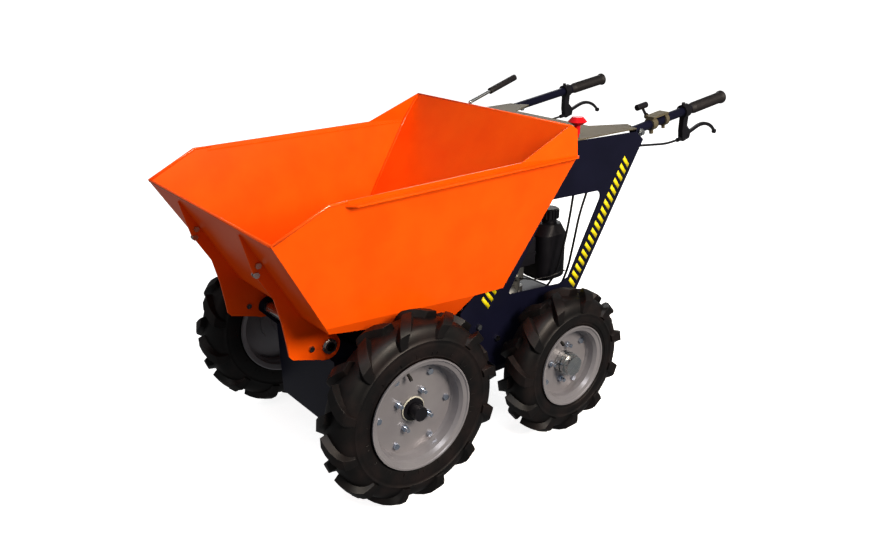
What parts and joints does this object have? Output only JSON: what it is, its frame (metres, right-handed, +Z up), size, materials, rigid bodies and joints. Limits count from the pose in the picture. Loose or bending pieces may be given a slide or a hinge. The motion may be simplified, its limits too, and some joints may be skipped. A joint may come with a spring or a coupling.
{
  "type": "power wheelbarrow",
  "caption": "Four-wheel-drive power wheelbarrow with a tipping red steel skip, petrol engine, chain drive, traction tyres, lever console and handlebars",
  "frame": {"origin": "on the ground, in the middle of the overall length and width", "axes": "+Z up, -Y towards the front (the end that tips), +X towards the side with the throttle, stop knob and catch"},
  "size_m": [0.7662, 1.5611, 0.8824],
  "materials": {
    "skip_paint": "semi_gloss",
    "frame_paint": "satin",
    "console_paint": "satin",
    "rim_paint": "satin",
    "zinc": "satin",
    "chain_steel": "satin",
    "hot_steel": "matte",
    "cast_iron": "matte",
    "cast_aluminium": "satin",
    "black_plastic": "matte",
    "red_plastic": "gloss",
    "grip_rubber": "matte",
    "belt_rubber": "matte",
    "cable_sleeve": "satin",
    "tyre": "matte"
  },
  "bodies": {
    "chassis": {"side_frame_left": "frame_paint", "side_frame_right": "frame_paint", "drive_case": "frame_paint", "engine_deck": "frame_paint", "case_cover": "frame_paint", "pivot_tube": "zinc", "axle_bearings": "cast_iron", "gearbox_housing": "cast_aluminium", "drive_chains": "chain_steel", "frame_bolts": "zinc", "frame_cross_tubes": "frame_paint", "console_panel": "console_paint", "crankcase": "cast_aluminium", "engine_cylinder": "cast_aluminium", "spark_plug": "black_plastic", "blower_housing": "black_plastic", "fuel_tank": "black_plastic", "fuel_cap": "black_plastic", "air_cleaner": "black_plastic", "carburettor": "cast_aluminium", "muffler": "hot_steel", "drive_belt": "belt_rubber", "handle_tube_left": "frame_paint", "handle_tube_right": "frame_paint", "handle_bolts": "zinc", "grip_left": "grip_rubber", "grip_right": "grip_rubber", "lever_perch_left": "black_plastic", "lever_perch_right": "black_plastic", "throttle_bracket": "console_paint", "brake_cable": "cable_sleeve", "clutch_cable": "cable_sleeve", "console_cables": "cable_sleeve"},
    "skip": {"skip_tub": "skip_paint", "skip_pivot_ears": "skip_paint", "skip_ear_bolts": "zinc", "catch_striker": "zinc"},
    "front_wheels": {"front_tyre_left": "tyre", "front_tyre_right": "tyre", "front_rim_left": "rim_paint", "front_rim_right": "rim_paint", "front_wheel_bolts": "zinc", "front_axle": "chain_steel", "front_hub_caps": "black_plastic"},
    "rear_wheels": {"rear_tyre_left": "tyre", "rear_tyre_right": "tyre", "rear_rim_left": "rim_paint", "rear_rim_right": "rim_paint", "rear_wheel_bolts": "zinc", "rear_axle": "chain_steel", "rear_hubs": "zinc"},
    "drive_shaft_body": {"drive_shaft": "chain_steel"},
    "crank": {"engine_shaft": "chain_steel"},
    "gearbox_input": {"gearbox_pulley": "cast_iron"},
    "catch": {"catch_lever": "zinc"},
    "brake_lever_body": {"brake_lever": "black_plastic"},
    "clutch_lever_body": {"clutch_lever": "black_plastic"},
    "gear_lever_body": {"gear_lever": "zinc"},
    "throttle_lever_body": {"throttle_lever": "black_plastic"},
    "stop_knob_body": {"stop_knob": "red_plastic"}
  },
  "joints": [
    {"name": "tip", "type": "hinge", "parent": "chassis", "child": "skip", "pos_m": [0, -0.5827, 0.381], "axis": [1, 0, 0], "range_deg": [0, 65]},
    {"name": "front_wheels_spin", "type": "hinge", "parent": "chassis", "child": "front_wheels", "pos_m": [0, -0.4677, 0.244], "axis": [1, 0, 0], "continuous": true},
    {"name": "rear_wheels_spin", "type": "hinge", "parent": "chassis", "child": "rear_wheels", "pos_m": [0, 0.0343, 0.2065], "axis": [1, 0, 0], "continuous": true},
    {"name": "drive_shaft_spin", "type": "hinge", "parent": "chassis", "child": "drive_shaft_body", "pos_m": [0, -0.2177, 0.225], "axis": [1, 0, 0], "continuous": true},
    {"name": "crank_spin", "type": "hinge", "parent": "chassis", "child": "crank", "pos_m": [0.02, -0.0157, 0.302], "axis": [0, 0, 1], "continuous": true},
    {"name": "gearbox_input_spin", "type": "hinge", "parent": "chassis", "child": "gearbox_input", "pos_m": [-0.015, -0.2177, 0.302], "axis": [0, 0, 1], "continuous": true},
    {"name": "catch_swing", "type": "hinge", "parent": "chassis", "child": "catch", "pos_m": [0.218, -0.2237, 0.366], "axis": [1, 0, 0], "range_deg": [0, 34]},
    {"name": "brake_pull", "type": "hinge", "parent": "chassis", "child": "brake_lever_body", "pos_m": [0.239, 0.62091, 0.72918], "axis": [1, 0, 0], "range_deg": [0, 18], "stiffness_Nm_per_rad": 0.5},
    {"name": "clutch_pull", "type": "hinge", "parent": "chassis", "child": "clutch_lever_body", "pos_m": [-0.239, 0.62091, 0.72918], "axis": [1, 0, 0], "range_deg": [0, 18], "stiffness_Nm_per_rad": 0.5},
    {"name": "gear_shift", "type": "hinge", "parent": "chassis", "child": "gear_lever_body", "pos_m": [-0.2, 0.1533, 0.755], "axis": [1, 0, 0], "range_deg": [-16, 12]},
    {"name": "throttle_swing", "type": "hinge", "parent": "chassis", "child": "throttle_lever_body", "pos_m": [0.221, 0.44938, 0.80165], "axis": [1, 0, 0], "range_deg": [-35, 10]},
    {"name": "stop_push", "type": "slide", "parent": "chassis", "child": "stop_knob_body", "axis": [0, 0, -1], "range_m": [0, 0.007], "stiffness_N_per_m": 100}
  ],
  "couplings": [
    {"joint": "rear_wheels_spin", "follows": "front_wheels_spin", "ratio": 1.1818},
    {"joint": "drive_shaft_spin", "follows": "front_wheels_spin", "ratio": 2.3636},
    {"joint": "gearbox_input_spin", "follows": "crank_spin", "ratio": 0.54839}
  ]
}
